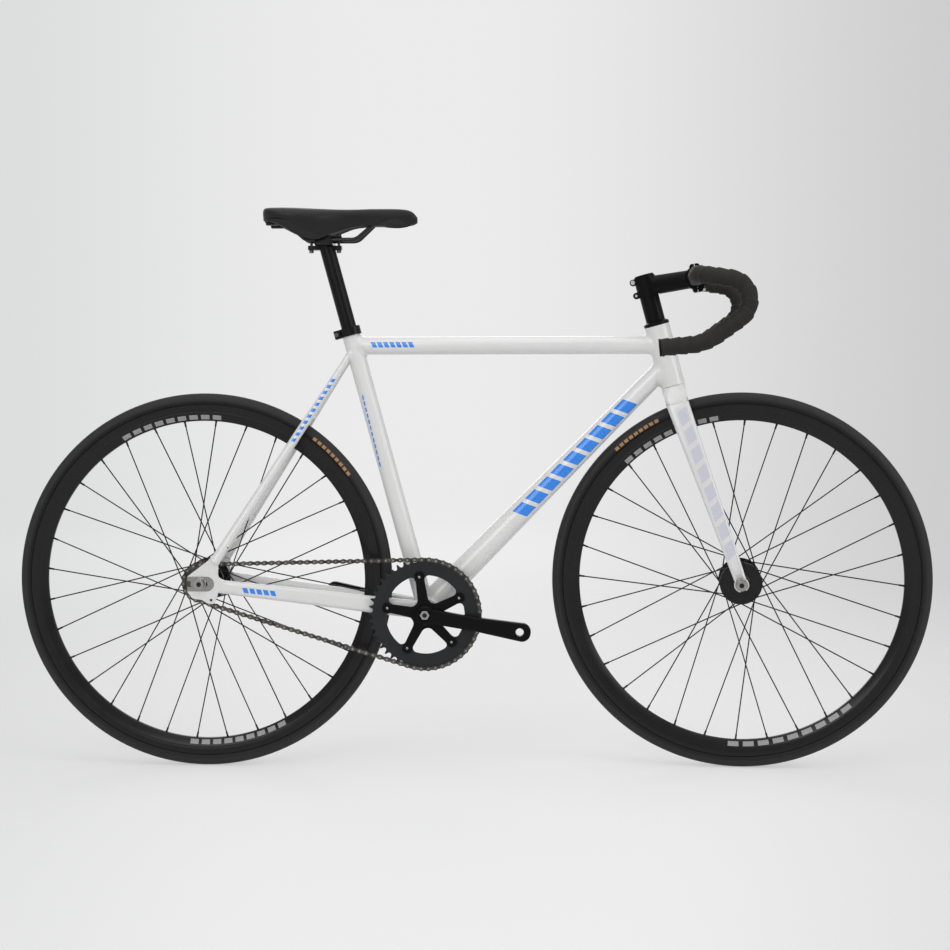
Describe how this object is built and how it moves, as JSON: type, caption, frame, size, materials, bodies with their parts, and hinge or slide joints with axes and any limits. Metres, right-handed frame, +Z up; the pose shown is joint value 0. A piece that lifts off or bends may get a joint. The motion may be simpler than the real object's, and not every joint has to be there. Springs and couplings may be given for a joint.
{
  "type": "fixed gear bicycle",
  "caption": "Fixed gear bicycle with a welded white frame, straight fork, taped drop bars, spoked wheels and a single-speed chain drive; steers, rolls and pedals.",
  "frame": {"origin": "on the ground, midway between the two axles, in the frame's centre plane", "axes": "+X forward, +Y to the rider's left, +Z up; the chain is on the -Y side"},
  "size_m": [1.6289, 0.4525, 1.0014],
  "materials": {
    "white_paint": "gloss white paint over welded aluminium tube",
    "black_alloy": "black anodised",
    "black_paint": "semi-gloss black",
    "bearing_steel": "ground steel",
    "bolt_steel": "bright plated steel",
    "black_steel": "black oxide steel",
    "chain_steel": "oiled steel",
    "tyre": "slick black rubber",
    "tape": "soft black wrap",
    "plug": "matte black",
    "saddle_skin": "smooth black synthetic leather",
    "saddle_base": "moulded black"
  },
  "bodies": {
    "frame": {"head_tube": "white_paint", "top_tube": "white_paint", "down_tube": "white_paint", "seat_tube": "white_paint", "bottom_bracket_shell": "white_paint", "left_chainstay": "white_paint", "right_chainstay": "white_paint", "left_seatstay": "white_paint", "right_seatstay": "white_paint", "stay_bridges": "white_paint", "left_track_end": "white_paint", "right_track_end": "white_paint", "seat_clamp": "black_alloy", "bottom_bracket_cups": "black_alloy", "headset_bearings": "bearing_steel", "rear_axle": "bearing_steel", "seat_clamp_bolt": "bolt_steel", "rear_axle_bolts": "bolt_steel", "chain_inner_links": "chain_steel", "chain_outer_links": "chain_steel"},
    "seatpost": {"seatpost": "black_paint", "lower_saddle_clamp": "black_paint", "upper_saddle_clamp": "black_paint", "saddle_clamp_bolts": "black_steel", "saddle_rails": "black_steel", "saddle_shell": "saddle_base", "saddle_cover": "saddle_skin"},
    "crankset": {"crank_spindle": "bearing_steel", "left_crank": "black_alloy", "right_crank": "black_alloy", "chainring": "black_alloy", "crank_bolts": "bolt_steel", "chainring_bolts": "black_steel"},
    "rear_wheel": {"rear_tyre": "tyre", "rear_rim": "black_alloy", "rear_hub": "black_alloy", "rear_hub_bearings": "bearing_steel", "rear_spokes": "black_steel", "cog": "bolt_steel", "lockring": "bolt_steel"},
    "fork": {"fork_steerer": "white_paint", "left_fork_blade": "white_paint", "right_fork_blade": "white_paint", "headset_cover": "black_alloy", "headset_spacers": "black_alloy", "stem": "black_alloy", "stem_faceplate": "black_alloy", "top_cap": "black_alloy", "handlebar": "black_paint", "stem_bolts": "bolt_steel", "front_axle_bolts": "bolt_steel", "front_axle": "bearing_steel", "bar_tape": "tape", "bar_end_plugs": "plug"},
    "front_wheel": {"front_tyre": "tyre", "front_rim": "black_alloy", "front_hub": "black_alloy", "front_hub_bearings": "bearing_steel", "front_spokes": "black_steel"}
  },
  "joints": [
    {"name": "steering", "type": "hinge", "parent": "frame", "child": "fork", "pos_m": [0.3569, 0, 0.68737], "axis": [-0.2588, 0, 0.9659], "range_deg": [-65.5, 74.5]},
    {"name": "front_wheel_spin", "type": "hinge", "parent": "fork", "child": "front_wheel", "pos_m": [0.47892, -0.00212, 0.33598], "axis": [0.0758, 0.9969, 0.0203], "continuous": true},
    {"name": "rear_wheel_spin", "type": "hinge", "parent": "frame", "child": "rear_wheel", "pos_m": [-0.479, 0, 0.336], "axis": [0, 1, 0], "continuous": true, "deforming": ["chain_inner_links", "chain_outer_links"]},
    {"name": "crank_spin", "type": "hinge", "parent": "frame", "child": "crankset", "pos_m": [-0.08164, 0, 0.2806], "axis": [0, 1, 0], "continuous": true},
    {"name": "seatpost_slide", "type": "slide", "parent": "frame", "child": "seatpost", "axis": [-0.2605, 0, 0.9655], "range_m": [-0.1, 0.065]}
  ],
  "couplings": [
    {"joint": "crank_spin", "follows": "rear_wheel_spin", "ratio": 0.33333}
  ]
}
